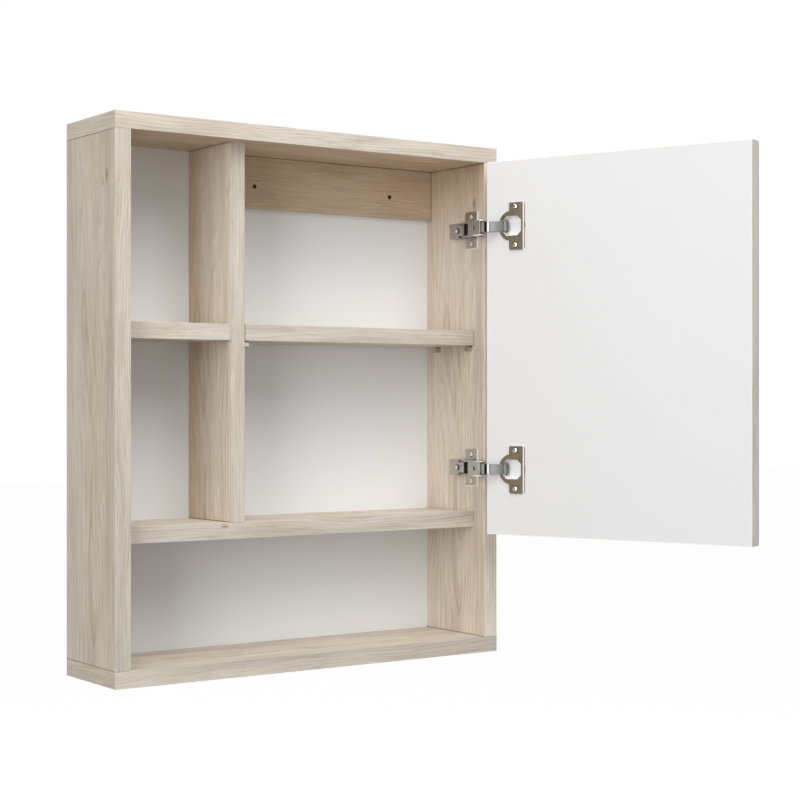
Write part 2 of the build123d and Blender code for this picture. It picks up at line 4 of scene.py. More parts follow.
import bmesh
import bpy
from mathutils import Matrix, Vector


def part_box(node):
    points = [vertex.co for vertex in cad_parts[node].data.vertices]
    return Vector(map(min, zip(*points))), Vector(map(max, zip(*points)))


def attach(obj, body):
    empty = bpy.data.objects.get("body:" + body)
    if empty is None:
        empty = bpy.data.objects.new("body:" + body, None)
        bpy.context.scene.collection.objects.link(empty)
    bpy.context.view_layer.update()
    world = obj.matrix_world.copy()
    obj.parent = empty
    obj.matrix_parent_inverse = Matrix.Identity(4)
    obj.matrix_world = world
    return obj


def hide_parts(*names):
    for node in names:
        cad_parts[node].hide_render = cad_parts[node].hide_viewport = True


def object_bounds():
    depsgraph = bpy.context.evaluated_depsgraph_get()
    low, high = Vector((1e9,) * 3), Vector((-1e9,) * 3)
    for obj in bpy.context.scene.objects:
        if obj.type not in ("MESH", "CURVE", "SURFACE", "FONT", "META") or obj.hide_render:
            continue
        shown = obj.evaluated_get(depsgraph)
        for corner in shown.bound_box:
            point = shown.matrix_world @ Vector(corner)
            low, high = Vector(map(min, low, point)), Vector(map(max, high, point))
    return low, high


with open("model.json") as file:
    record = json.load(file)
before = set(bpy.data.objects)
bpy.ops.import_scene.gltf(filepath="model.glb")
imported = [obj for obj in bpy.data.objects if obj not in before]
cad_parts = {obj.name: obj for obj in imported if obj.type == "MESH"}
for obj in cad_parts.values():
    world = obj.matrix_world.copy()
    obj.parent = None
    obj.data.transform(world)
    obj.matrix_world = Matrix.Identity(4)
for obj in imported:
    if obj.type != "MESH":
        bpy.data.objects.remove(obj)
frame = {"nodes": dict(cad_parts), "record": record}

nodes = frame["nodes"]
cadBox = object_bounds()
print("frame loaded,", len(nodes), "nodes")

# Camera, at the photo's viewing angle
camera = {
    "place": (-1.1322, -1.7881, -0.2472),
    "yaw": 34.983,            # degrees, from straight at the front towards the right
    "focalPixels": 1770.6,
    "picturePixels": 800,
    "sensor": 36.0,
}
cameraData = bpy.data.cameras.new("camera")
cameraData.sensor_width = camera["sensor"]
cameraData.lens = camera["focalPixels"] / camera["picturePixels"] * camera["sensor"]
cameraObject = bpy.data.objects.new("camera", cameraData)
cameraObject.location = camera["place"]
cameraObject.rotation_euler = (math.radians(90), 0, math.radians(-camera["yaw"]))
bpy.context.scene.collection.objects.link(cameraObject)
bpy.context.scene.camera = cameraObject
bpy.context.scene.view_settings.view_transform = "Standard"
print("camera placed")


# Node helpers
def put(tree, kind, inputs=(), **settings):
    made = tree.nodes.new("ShaderNode" + kind)
    for name, value in settings.items():
        setattr(made, name, value)
    for name, value in dict(inputs).items():
        if isinstance(value, bpy.types.NodeSocket):
            tree.links.new(value, made.inputs[name])
        else:
            made.inputs[name].default_value = value
    return made


def ramp(tree, factor, stops):
    made = put(tree, "ValToRGB", {"Fac": factor})
    while len(made.color_ramp.elements) < len(stops):
        made.color_ramp.elements.new(0.5)
    for element, (position, colour) in zip(made.color_ramp.elements, stops):
        element.position = position
        element.color = (*colour, 1)
    return made.outputs["Color"]


def calculate(tree, operation, first, second=0.0):
    return put(tree, "Math", {0: first, 1: second}, operation=operation).outputs[0]


def spread(tree, value, low, high, newLow=0.0, newHigh=1.0):
    limits = {"Value": value, "From Min": low, "From Max": high, "To Min": newLow, "To Max": newHigh}
    return put(tree, "MapRange", limits).outputs["Result"]


def blendColours(tree, first, second, amount, how="MIX"):
    made = put(tree, "Mix", {0: amount, 6: first, 7: second}, data_type="RGBA", blend_type=how)
    return made.outputs[2]


def noise(tree, place, scale, detail=2.0, roughness=0.5):
    # scale is one number, or three for a noise drawn out along an axis
    if not isinstance(scale, (int, float)):
        place = put(tree, "Mapping", {"Vector": place, "Scale": scale}).outputs[0]
        scale = 1.0
    return put(tree, "TexNoise", {"Vector": place, "Scale": scale, "Detail": detail, "Roughness": roughness})


def grey(level):
    return (level, level, level)


def scaled(colour, factor):
    return tuple(c * factor for c in colour)


def newMaterial(name):
    material = bpy.data.materials.new(name)
    material.use_nodes = True
    tree = material.node_tree
    return material, tree, tree.nodes["Principled BSDF"]


def dress(piece, material):
    piece.data.materials.clear()
    piece.data.materials.append(material)


# Light
studio = {
    "ambient": 0.45,
    "aim": (-0.07, -0.06, -0.25),
    "distance": 3.0,
    "lampSize": 1.6,
    "lamps": {                # degrees from straight in front towards the right, degrees up, watts
        "highLamp": (-25, 58, 35.5),
        "leftLamp": (-60, 6, 47.5),
        "frontLamp": (5, 45, 28.0),
        "backLamp": (160, 28, 26.0),
    },
    "floorDrop": 1.3,         # from the lowest corner of the cabinet
    "floorSize": 60.0,
    "floorTone": 0.45,
    "floorGlow": 0.78,
}
world = bpy.data.worlds.new("studio")
bpy.context.scene.world = world
world.use_nodes = True
worldTree = world.node_tree


def seenRays(tree):
    # 1 for what the camera sees straight, in a mirror or through glass
    rays = put(tree, "LightPath")
    seen = calculate(tree, "MAXIMUM", rays.outputs["Is Camera Ray"], rays.outputs["Is Glossy Ray"])
    return calculate(tree, "MAXIMUM", seen, rays.outputs["Is Transmission Ray"])


backdrop = worldTree.nodes["Background"]
backdrop.inputs["Color"].default_value = (1, 1, 1, 1)
strength = spread(worldTree, seenRays(worldTree), 0.0, 1.0, studio["ambient"], 1.0)
worldTree.links.new(strength, backdrop.inputs["Strength"])

aim = Vector(studio["aim"])
for lampName, (turn, rise, power) in studio["lamps"].items():
    lampData = bpy.data.lights.new(lampName, "AREA")
    lampData.shape = "SQUARE"
    lampData.size = studio["lampSize"]
    lampData.energy = power
    lamp = bpy.data.objects.new(lampName, lampData)
    turn, rise = math.radians(turn), math.radians(rise)
    side = Vector((math.sin(turn) * math.cos(rise), -math.cos(turn) * math.cos(rise), math.sin(rise)))
    lamp.location = aim + studio["distance"] * side
    lamp.rotation_euler = (-side).to_track_quat("-Z", "Y").to_euler()
    bpy.context.scene.collection.objects.link(lamp)

floorMesh = bpy.data.meshes.new("floor")
floorBuild = bmesh.new()
bmesh.ops.create_grid(floorBuild, x_segments=1, y_segments=1, size=studio["floorSize"] / 2)
bmesh.ops.translate(floorBuild, vec=(0, 0, cadBox[0].z - studio["floorDrop"]), verts=floorBuild.verts)
floorBuild.to_mesh(floorMesh)
floorBuild.free()
floor = bpy.data.objects.new("floor", floorMesh)
bpy.context.scene.collection.objects.link(floor)
floorMaterial, floorTree, floorShader = newMaterial("floorPaint")
floorShader.inputs["Base Color"].default_value = (*grey(studio["floorTone"]), 1)
floorShader.inputs["Roughness"].default_value = 0.9
floorShader.inputs["Specular IOR Level"].default_value = 0.0
floorShader.inputs["Emission Color"].default_value = (1, 1, 1, 1)
floorGlow = calculate(floorTree, "MULTIPLY", seenRays(floorTree), studio["floorGlow"])
floorTree.links.new(floorGlow, floorShader.inputs["Emission Strength"])
dress(floor, floorMaterial)
print("studio lit")


# Pale oak. Grain runs along one axis of a board, and each board has its own piece of the tree.
oak = {
    "edge": (0.645, 0.590, 0.520),       # strips on the fronts
    "outer": (0.515, 0.463, 0.390),      # the case's outer faces
    "inner": (0.664, 0.593, 0.511),      # boards seen inside the bays
    "shade": (0.610, 0.485, 0.350),      # painted shade: a darker, warmer tone for the boards at the top of the bays
    "seedStep": (7.3, 3.1, 1.7),         # between the pieces of the tree, in metres
    "ringsPerMetre": 300.0,
    "warp": 0.013,
    "ringLine": (0.83, 0.775, 0.715),
    "pore": (0.80, 0.75, 0.68),
    "knot": (0.20, 0.14, 0.095),
    # near black: the bare board in a drilled hole, with painted shade
    "bore": (0.040, 0.024, 0.012),
    "stripCore": (0.86, 0.85, 0.83),
    "jointWidth": 0.00085,
    "jointDark": (0.34, 0.29, 0.24),
    "stripJointWidth": 0.0005,
    "stripJointDark": (0.72, 0.68, 0.62),
    "cornerShadeDepth": (-0.040, -0.020),     # painted shade: a warm dark corner at the back of the divider
    "cornerShadeTint": (0.93, 0.85, 0.74),
    "shadeUnderTopDepth": (-0.060, 0.035),    # painted shade: the right board is painted darker and warmer towards the top panel
    "shadeUnderTopTint": (0.74, 0.66, 0.55),
    "swirlReach": 5.0,                   # how far a knot bends the rings, in its own sizes
    "swirlRings": 7.0,
    "boreMargin": 0.00015,
    "poreDepth": 0.6,
    "bumpStrength": 0.25,
    "bumpHeight": 0.0004,
    "rough": (0.62, 0.48),               # between the fibres and on them
    "specular": 0.35,
}
grainScales = {               # of the noise, along a board and twice across it
    "waves": (5, 19, 19),
    "ringPatches": (4.0, 22, 22),
    "streaks": (2.8, 68, 68),
    "clouds": (7, 30, 30),
    "fibres": (14, 560, 560),
    "pores": (50, 1400, 1400),
}
grainOrder = {"X": "XZY", "Y": "YZX", "Z": "ZYX"}
uprightKnots = [              # places on a board's face, the same decor on all three uprights
    {"at": (-0.0993, -0.0120), "size": (0.0034, 0.0095), "dark": 0.80},
    {"at": (-0.0915, -0.0195), "size": (0.0050, 0.0065), "dark": 0.25},
]
knotDepth = 0.004


def facing(tree, normal, direction):
    # 1 where the face looks along the direction
    looks = put(tree, "VectorMath", {0: normal, 1: direction}, operation="DOT_PRODUCT").outputs["Value"]
    return calculate(tree, "GREATER_THAN", looks, 0.7)


# along: the grain's axis. pith: from the board's corner to the tree's middle. outside: the outer face.
# core: the face that shows a strip's core. joints: ends that meet a board. gain: lightens or darkens.
# Two switches paint shade into the colour: a warm dark corner at the back, and a darker, warmer band towards
# the top panel.
def oakMaterial(name, along, seed, tone="inner", pith=(-0.06, 0.06), knots=(), bores=(), outside=None,
                core=None, joints=(), strip=False, corner=False, paintedShadeUnderTop=False, gain=1.0):
    material, tree, shader = newMaterial(name)
    colour = scaled(oak[tone], gain)
    coordinates = put(tree, "TexCoord")
    place, normal = coordinates.outputs["Object"], coordinates.outputs["Normal"]
    low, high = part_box(name)
    boardCorner = (low.x, low.y, high.z)
    fromCorner = put(tree, "VectorMath", {0: place, 1: boardCorner}, operation="SUBTRACT").outputs[0]
    parts = put(tree, "SeparateXYZ", {0: fromCorner})
    board = {i: parts.outputs[axis] for i, axis in enumerate(grainOrder[along])}
    board = put(tree, "CombineXYZ", board).outputs[0]
    own = put(tree, "Mapping", {"Vector": board, "Location": scaled(oak["seedStep"], seed)}).outputs[0]

    # slow waves bend the grain, and each knot pushes it aside
    slow = noise(tree, own, grainScales["waves"], 1.5).outputs["Color"]
    bend = put(tree, "VectorMath", {0: slow, 1: grey(0.5)}, operation="SUBTRACT").outputs[0]
    sway = (0, 2 * oak["warp"], 2 * oak["warp"])
    bend = put(tree, "VectorMath", {0: bend, 1: sway}, operation="MULTIPLY").outputs[0]
    bent = put(tree, "VectorMath", {0: own, 1: bend}, operation="ADD").outputs[0]
    around = put(tree, "VectorMath", {0: board, 1: bend}, operation="ADD").outputs[0]
    around = put(tree, "VectorMath", {0: around, 1: (0, *pith)}, operation="ADD").outputs[0]
    ringsAcross = (0, oak["ringsPerMetre"], oak["ringsPerMetre"])
    around = put(tree, "VectorMath", {0: around, 1: ringsAcross}, operation="MULTIPLY").outputs[0]
    phase = put(tree, "VectorMath", {0: around}, operation="LENGTH").outputs["Value"]
    knotMask = None
    for knot in knots:
        spot = {"Vector": place, "Location": knot["at"], "Scale": knot["size"]}
        spot = put(tree, "Mapping", spot, vector_type="TEXTURE").outputs[0]
        dome = put(tree, "TexGradient", {"Vector": spot}, gradient_type="SPHERICAL").outputs["Fac"]
        wide = {"Vector": place, "Location": knot["at"], "Scale": scaled(knot["size"], oak["swirlReach"])}
        wide = put(tree, "Mapping", wide, vector_type="TEXTURE").outputs[0]
        swirl = put(tree, "TexGradient", {"Vector": wide}, gradient_type="SPHERICAL").outputs["Fac"]
        swirl = calculate(tree, "POWER", swirl, 2.0)
        swirl = calculate(tree, "MULTIPLY", swirl, oak["swirlRings"] * knot["dark"])
        phase = calculate(tree, "ADD", phase, swirl)
        dome = calculate(tree, "MULTIPLY", spread(tree, dome, 0.0, 0.6), knot["dark"])
        knotMask = dome if knotMask is None else calculate(tree, "MAXIMUM", knotMask, dome)
    ring = calculate(tree, "FRACT", phase)
    ringStops = [(0.0, grey(1.03)), (0.30, grey(1.0)), (0.68, grey(0.98)), (0.85, oak["ringLine"]),
                 (1.0, grey(1.03))]
    ringTone = ramp(tree, ring, ringStops)
    ringPatch = noise(tree, own, grainScales["ringPatches"], 1.0).outputs["Fac"]
    ringPatch = spread(tree, ringPatch, 0.38, 0.58, 0.25, 1.0)

    # broad streaks, blotches, fibres and pores
    streak = noise(tree, bent, grainScales["streaks"], 3.0, 0.6).outputs["Fac"]
    base = ramp(tree, streak, [(0.32, scaled(colour, 0.85)), (0.50, colour), (0.68, scaled(colour, 1.08))])
    cloud = noise(tree, own, grainScales["clouds"]).outputs["Fac"]
    cloudTone = ramp(tree, cloud, [(0.36, (0.94, 0.915, 0.885)), (0.58, grey(1.0))])
    fibre = noise(tree, bent, grainScales["fibres"], 3.0, 0.6).outputs["Fac"]
    fibreTone = ramp(tree, fibre, [(0.30, (0.86, 0.835, 0.80)), (0.5, grey(1.0)), (0.7, grey(1.08))])
    pores = noise(tree, bent, grainScales["pores"], 1.0).outputs["Fac"]
    poreTone = ramp(tree, pores, [(0.59, grey(1.0)), (0.73, oak["pore"])])

    colour = blendColours(tree, base, cloudTone, 1.0, "MULTIPLY")
    colour = blendColours(tree, colour, ringTone, ringPatch, "MULTIPLY")
    colour = blendColours(tree, colour, fibreTone, 1.0, "MULTIPLY")
    colour = blendColours(tree, colour, poreTone, 0.8, "MULTIPLY")
    if outside is not None:
        ratio = tuple(o / i for o, i in zip(oak["outer"], oak[tone]))
        colour = blendColours(tree, colour, (*ratio, 1), facing(tree, normal, outside), "MULTIPLY")
    # painted shade: darker and warmer towards the back of the board
    if corner:
        depth = put(tree, "SeparateXYZ", {0: place}).outputs["Y"]
        deep = spread(tree, depth, *oak["cornerShadeDepth"])
        colour = blendColours(tree, colour, (*oak["cornerShadeTint"], 1), deep, "MULTIPLY")
    # painted shade: darker and warmer towards the top panel
    if paintedShadeUnderTop:
        height = put(tree, "SeparateXYZ", {0: place}).outputs["Z"]
        shadeNearTop = spread(tree, height, *oak["shadeUnderTopDepth"])
        colour = blendColours(tree, colour, (*oak["shadeUnderTopTint"], 1), shadeNearTop, "MULTIPLY")
    if knotMask is not None:
        colour = blendColours(tree, colour, (*oak["knot"], 1), knotMask)
    for axis, end in joints:
        # the fine dark line where a board meets the next one
        away = put(tree, "SeparateXYZ", {0: place}).outputs[axis]
        away = calculate(tree, "SUBTRACT", away, (low, high)[end]["XYZ".index(axis)])
        away = calculate(tree, "ABSOLUTE", away)
        line = calculate(tree, "LESS_THAN", away, oak["stripJointWidth" if strip else "jointWidth"])
        dark = oak["stripJointDark" if strip else "jointDark"]
        colour = blendColours(tree, colour, (*dark, 1), line, "MULTIPLY")
    for bore in bores:
        # bare board inside a drilled hole along Y, painted near black for the shade inside the hole
        away = put(tree, "VectorMath", {0: place, 1: (*bore["at"], 0)}, operation="SUBTRACT").outputs[0]
        away = put(tree, "VectorMath", {0: away, 1: (1, 0, 1)}, operation="MULTIPLY").outputs[0]
        away = put(tree, "VectorMath", {0: away}, operation="LENGTH").outputs["Value"]
        inside = calculate(tree, "LESS_THAN", away, bore["radius"] + oak["boreMargin"])
        colour = blendColours(tree, colour, (*oak["bore"], 1), inside)
    if core is not None:
        # the strip's pale core where it is cut flush with the white face
        colour = blendColours(tree, colour, (*oak["stripCore"], 1), facing(tree, normal, core))
    tree.links.new(colour, shader.inputs["Base Color"])
    relief = calculate(tree, "SUBTRACT", fibre, calculate(tree, "MULTIPLY", pores, oak["poreDepth"]))
    bump = {"Height": relief, "Strength": oak["bumpStrength"], "Distance": oak["bumpHeight"]}
    tree.links.new(put(tree, "Bump", bump).outputs[0], shader.inputs["Normal"])
    tree.links.new(spread(tree, fibre, 0.0, 1.0, *oak["rough"]), shader.inputs["Roughness"])
    shader.inputs["Specular IOR Level"].default_value = oak["specular"]
    return material


def onFace(x):
    # the knots of the uprights, on the face at x
    return [{"at": (x, *k["at"]), "size": (knotDepth, *k["size"]), "dark": k["dark"]} for k in uprightKnots]


doorAngle = math.radians(111.0)                                  # the door stands open, as the frame has it
doorOut = (-math.sin(doorAngle), math.cos(doorAngle), 0.0)       # the way its white face looks
railBores = [{"at": (x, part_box("hanging_rail")[0].y), "radius": 0.0025} for x in (-0.095, 0.095)]
endsX, endsZ = [("X", 0), ("X", 1)], [("Z", 0), ("Z", 1)]
middleKnot = {"at": (-0.1828, -0.099, -0.3852), "size": (0.0060, 0.004, 0.0026), "dark": 0.55}
oakBoards = {
    "top_panel": {"along": "X", "seed": 1, "tone": "shade", "pith": (0.07, -0.05), "outside": (0, 0, 1)},
    "bottom_panel": {"along": "X", "seed": 2, "pith": (0.08, -0.05), "outside": (0, 0, -1)},
    "left_side_panel": {"along": "Z", "seed": 3, "outside": (-1, 0, 0), "joints": endsZ,
                        "knots": onFace(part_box("left_side_panel")[0].x)},
    "right_side_panel": {"along": "Z", "seed": 3, "outside": (1, 0, 0), "joints": endsZ,
                         "knots": onFace(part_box("right_side_panel")[0].x), "paintedShadeUnderTop": True, "gain": 0.95},
    "middle_shelf": {"along": "X", "seed": 5, "pith": (0.08, -0.06), "joints": endsX},
    "divider_panel": {"along": "Z", "seed": 3, "joints": endsZ, "corner": True,
                      "knots": onFace(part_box("divider_panel")[0].x)},
    "left_shelf": {"along": "X", "seed": 7, "pith": (0.09, -0.05), "joints": endsX},
    "right_shelf": {"along": "X", "seed": 8, "pith": (0.09, -0.04)},
    "hanging_rail": {"along": "X", "seed": 9, "tone": "shade", "pith": (0.16, 0.05), "bores": railBores,
                     "joints": [*endsX, ("Z", 1)]},
    "top_edge_band": {"along": "X", "seed": 10, "tone": "edge", "pith": (0.13, 0.02)},
    "bottom_edge_band": {"along": "X", "seed": 21, "tone": "edge", "pith": (0.07, 0.03), "gain": 0.95},
    "left_side_edge_band": {"along": "Z", "seed": 12, "tone": "edge", "pith": (0.02, 0.15), "joints": endsZ,
                            "strip": True, "gain": 0.89},
    "right_side_edge_band": {"along": "Z", "seed": 13, "tone": "edge", "pith": (0.02, 0.12), "joints": endsZ,
                             "strip": True, "gain": 1.16},
    "middle_shelf_edge_band": {"along": "X", "seed": 14, "tone": "edge", "pith": (0.10, 0.02), "joints": endsX,
                               "strip": True, "knots": [middleKnot], "gain": 0.95},
    "divider_edge_band": {"along": "Z", "seed": 15, "tone": "edge", "pith": (0.02, 0.13), "joints": endsZ,
                          "strip": True, "gain": 0.93},
    "left_shelf_edge_band": {"along": "X", "seed": 16, "tone": "edge", "pith": (0.12, 0.02), "joints": endsX,
                             "strip": True},
    "right_shelf_edge_band": {"along": "X", "seed": 17, "tone": "edge", "pith": (0.12, 0.02), "joints": endsX,
                              "strip": True, "gain": 0.91},
    "top_end_bands": {"along": "Y", "seed": 18, "tone": "outer", "pith": (0.12, 0.02)},
    "bottom_end_bands": {"along": "Y", "seed": 19, "tone": "outer", "pith": (0.09, 0.02)},
    "door_top_band": {"along": "X", "seed": 20, "tone": "edge", "core": doorOut, "gain": 1.18},
    "door_bottom_band": {"along": "X", "seed": 21, "tone": "edge", "core": doorOut, "gain": 1.18},
    "door_hinge_side_band": {"along": "Z", "seed": 22, "tone": "edge", "core": doorOut, "gain": 1.18},
    "door_free_side_band": {"along": "Z", "seed": 23, "tone": "edge", "core": doorOut, "gain": 1.18},
}
for board, choice in oakBoards.items():
    dress(nodes[board], oakMaterial(board, **choice))
print("oak boards finished,", len(oakBoards))


# Smooth white boards
def whiteMaterial(name, colour, rough, grainScale):
    material, tree, shader = newMaterial(name)
    place = put(tree, "TexCoord").outputs["Object"]
    cloud = noise(tree, place, 6.0).outputs["Fac"]
    tone = ramp(tree, cloud, [(0.3, scaled(colour, 0.985)), (0.7, colour)])
    tree.links.new(tone, shader.inputs["Base Color"])
    peel = noise(tree, place, grainScale).outputs["Fac"]
    bump = put(tree, "Bump", {"Height": peel, "Strength": 0.08, "Distance": 0.0002})
    tree.links.new(bump.outputs[0], shader.inputs["Normal"])
    tree.links.new(spread(tree, cloud, 0.0, 1.0, rough - 0.04, rough + 0.04), shader.inputs["Roughness"])
    shader.inputs["Specular IOR Level"].default_value = 0.4
    return material


whites = {
    "door": {"name": "whiteDoorBoard", "colour": (0.73, 0.73, 0.735), "rough": 0.45, "grainScale": 900.0},
    "back": {"name": "whiteBackBoard", "colour": (0.855, 0.868, 0.88), "rough": 0.5, "grainScale": 700.0},
    "cup": {"name": "whiteCupPlastic", "colour": (0.90, 0.90, 0.90), "rough": 0.4, "grainScale": 1200.0},
}
dress(nodes["door_panel"], whiteMaterial(**whites["door"]))
dress(nodes["back_panel"], whiteMaterial(**whites["back"]))
cupPlastic = whiteMaterial(**whites["cup"])
print("white boards finished")


# Metals. A patch has its own colour, between two distances from a place along each direction; on the hinges,
# patches are painted shade and painted highlights.
def metalMaterial(name, colour, rough, brush, patches=(), heads=None):
    material, tree, shader = newMaterial(name)
    place = put(tree, "TexCoord").outputs["Object"]
    lines = noise(tree, place, brush, 3.0).outputs["Fac"]
    smudge = noise(tree, place, 90.0).outputs["Fac"]
    tone = ramp(tree, smudge, [(0.3, scaled(colour, 0.88)), (0.7, scaled(colour, 1.04))])
    highlightMetallic = None
    for patch in patches:
        away = put(tree, "VectorMath", {0: place, 1: patch["from"]}, operation="SUBTRACT").outputs[0]
        inside = patch.get("amount", 1.0)
        for direction, nearEnd, farEnd in patch["between"]:
            far = put(tree, "VectorMath", {0: away, 1: direction}, operation="DOT_PRODUCT").outputs["Value"]
            inside = calculate(tree, "MULTIPLY", inside, calculate(tree, "GREATER_THAN", far, nearEnd))
            inside = calculate(tree, "MULTIPLY", inside, calculate(tree, "LESS_THAN", far, farEnd))
        tone = blendColours(tree, tone, (*patch["colour"], 1), inside)
        if patch["colour"] == bright:
            # a rim painted as a highlight is made less of a mirror, so its painted pale colour shows
            inside = spread(tree, inside, 0.0, 1.0, 1.0, 0.25)
            highlightMetallic = inside if highlightMetallic is None else calculate(tree, "MULTIPLY", highlightMetallic, inside)
    if heads is not None:
        # painted shade: a screw head is painted dark around the rim and in the cross
        radial, deep = None, None
        for centre in heads["centres"]:
            away = put(tree, "VectorMath", {0: place, 1: centre}, operation="SUBTRACT").outputs[0]
            across = put(tree, "VectorMath", {0: away, 1: heads["into"]}, operation="CROSS_PRODUCT").outputs[0]
            across = put(tree, "VectorMath", {0: across}, operation="LENGTH").outputs["Value"]
            radial = across if radial is None else calculate(tree, "MINIMUM", radial, across)
            if deep is None:
                along = put(tree, "VectorMath", {0: away, 1: heads["into"]}, operation="DOT_PRODUCT")
                deep = along.outputs["Value"]
        rim = calculate(tree, "GREATER_THAN", radial, heads["radius"] * heads["bright"])
        cross = calculate(tree, "GREATER_THAN", deep, -0.6 * heads["crown"])
        nearMiddle = calculate(tree, "LESS_THAN", radial, heads["radius"] * heads["cross"])
        cross = calculate(tree, "MULTIPLY", cross, nearMiddle)
        cross = calculate(tree, "MULTIPLY", cross, heads["crossShade"])
        tone = blendColours(tree, tone, (*screwHeadShade, 1), calculate(tree, "MAXIMUM", rim, cross))
    tree.links.new(tone, shader.inputs["Base Color"])
    tree.links.new(spread(tree, lines, 0.0, 1.0, rough - 0.07, rough + 0.07), shader.inputs["Roughness"])
    bump = put(tree, "Bump", {"Height": lines, "Strength": 0.06, "Distance": 0.0001})
    tree.links.new(bump.outputs[0], shader.inputs["Normal"])
    if highlightMetallic is None:
        shader.inputs["Metallic"].default_value = 1.0 if heads is None else heads["mirror"]
    else:
        tree.links.new(highlightMetallic, shader.inputs["Metallic"])
    return material


# Places and directions on the hinges, as they stand with the door open
doorAlong = (-math.cos(doorAngle), -math.sin(doorAngle), 0.0)        # from the hinge side to the free side
openCorner = Vector((0.1479666, -0.1378788, 0.0))                    # the door's inner corner, hinge side
up, intoWall = (0, 0, 1), (1, 0, 0)
armPivot = (0.1505, -0.0945, 0.0)
bridgePivot = (0.1460186, -0.1294257, 0.0)
cupPivot = (0.1605186, -0.1566257, 0.0)
hingeLevels = {"upper": -0.0438, "lower": -0.3282}
# colours of painted highlights, of painted shade on screw heads, and of painted shade in channels, slots and
# gaps
bright, screwHeadShade, dark = (0.93, 0.92, 0.89), (0.055, 0.048, 0.040), (0.020, 0.018, 0.016)
drawnOut, even = (2500, 150, 2500), (900, 900, 900)                  # scales of the brushed lines


def raised(place, level):
    return (place[0], place[1], level)


def pointsAlong(first, second):
    # the direction between two pivots, and the one square to it towards the wall
    along = (Vector(second) - Vector(first)).normalized()
    return tuple(along), (-along.y, along.x, 0.0)


def hingeFinishesWithPaintedLight(level):
    bridgeAlong, bridgeIn = pointsAlong(armPivot, bridgePivot)
    linkAlong, linkIn = pointsAlong(bridgePivot, cupPivot)
    plateFront = (0.1565, -0.108, level)
    corner = (openCorner.x, openCorner.y, level)
    outer = (linkIn, -0.0130, -0.0094)
    return {
        "plate": {"colour": (0.49, 0.445, 0.375), "rough": 0.34, "brush": drawnOut, "patches": [
            # painted shade behind the face, painted highlights on the front rim and on the lower rim
            {"colour": dark, "from": plateFront, "between": [(intoWall, -0.02, -0.0003)]},
            {"colour": bright, "from": plateFront, "between": [((0, 1, 0), -0.001, 0.0014)]},
            {"colour": bright, "from": plateFront, "between": [(up, -0.024, -0.0215)], "amount": 0.8},
        ]},
        "arm": {"colour": (0.49, 0.46, 0.415), "rough": 0.36, "brush": drawnOut, "patches": [
            # painted shade inside the channel and at its front end
            {"colour": dark, "from": raised(armPivot, level),
             "between": [(intoWall, -0.0029, 0.01), (up, -0.0056, 0.0056)]},
            {"colour": dark, "from": raised(armPivot, level), "between": [((0, 1, 0), -0.01, -0.0002)]},
        ]},
        "bridge": {"colour": (0.49, 0.465, 0.425), "rough": 0.36, "brush": drawnOut, "patches": [
            # painted shade inside the channel, painted highlights on its lower and its upper rim
            {"colour": dark, "from": raised(armPivot, level),
             "between": [(bridgeIn, -0.0044, 0.01), (up, -0.0072, 0.0072)]},
            {"colour": bright, "from": raised(armPivot, level),
             "between": [(bridgeAlong, 0.026, 0.06), (up, -0.01, -0.0079)]},
            {"colour": bright, "from": raised(armPivot, level),
             "between": [(bridgeAlong, 0.030, 0.06), (up, 0.0082, 0.01)], "amount": 0.7},
        ]},
        "link": {"colour": (0.225, 0.225, 0.223), "rough": 0.58, "brush": drawnOut, "patches": [
            # the end inside the bridge painted lighter against the bridge's shade, then a painted shadow band
            # and a painted highlight band across the outer face
            {"colour": (0.52, 0.50, 0.46), "from": raised(bridgePivot, level),
             "between": [(linkAlong, -0.01, 0.0080)]},
            {"colour": dark, "from": raised(bridgePivot, level),
             "between": [(linkAlong, 0.0080, 0.0123), outer]},
            {"colour": bright, "from": raised(bridgePivot, level),
             "between": [(linkAlong, 0.0123, 0.0147), outer]},
        ]},
        "flange": {"colour": (0.285, 0.245, 0.175), "rough": 0.30, "brush": even, "patches": [
            # painted highlights on the straight side rim and on the upper rim
            {"colour": bright, "from": corner, "between": [(doorAlong, 0.0490, 0.0506)]},
            {"colour": bright, "from": corner, "between": [(up, 0.0272, 0.03)], "amount": 0.8},
        ]},
        # dark dull pins, darkened to add to the painted shade of the slots
        "pin": {"colour": (0.20, 0.18, 0.15), "rough": 0.42, "brush": even, "patches": [
            # painted shade on the arm's pin inside the channel
            {"colour": dark, "from": raised(armPivot, level),
             "between": [((0, 1, 0), -0.005, 0.005), (up, -0.0072, 0.0072)]},
        ]},
    }


metals = {
    "support_metal": {"name": "supportNickel", "colour": (0.55, 0.53, 0.50), "rough": 0.16, "brush": even},
    "zinc": {"name": "zincMetal", "colour": (0.52, 0.52, 0.53), "rough": 0.4, "brush": (700, 700, 700)},
    "plain_steel": {"name": "plainSteel", "colour": (0.50, 0.50, 0.50), "rough": 0.35, "brush": even},
}
slotFinishes = {slot: metalMaterial(**metal) for slot, metal in metals.items()}
slotFinishes["cup_plastic"] = cupPlastic
slots = {row["node"]: row["material_slot"] for row in frame["record"]["subparts"]}
for name, piece in nodes.items():
    if slots[name] in slotFinishes:
        dress(piece, slotFinishes[slots[name]])
for hinge, level in hingeLevels.items():
    for kind, finishWithPaintedLight in hingeFinishesWithPaintedLight(level).items():
        metal = metalMaterial(hinge + "_" + kind, **finishWithPaintedLight)
        for name, piece in nodes.items():
            if name.startswith(hinge + "_hinge_") and name.endswith("_" + kind):
                dress(piece, metal)
print("metals and plastic finished")


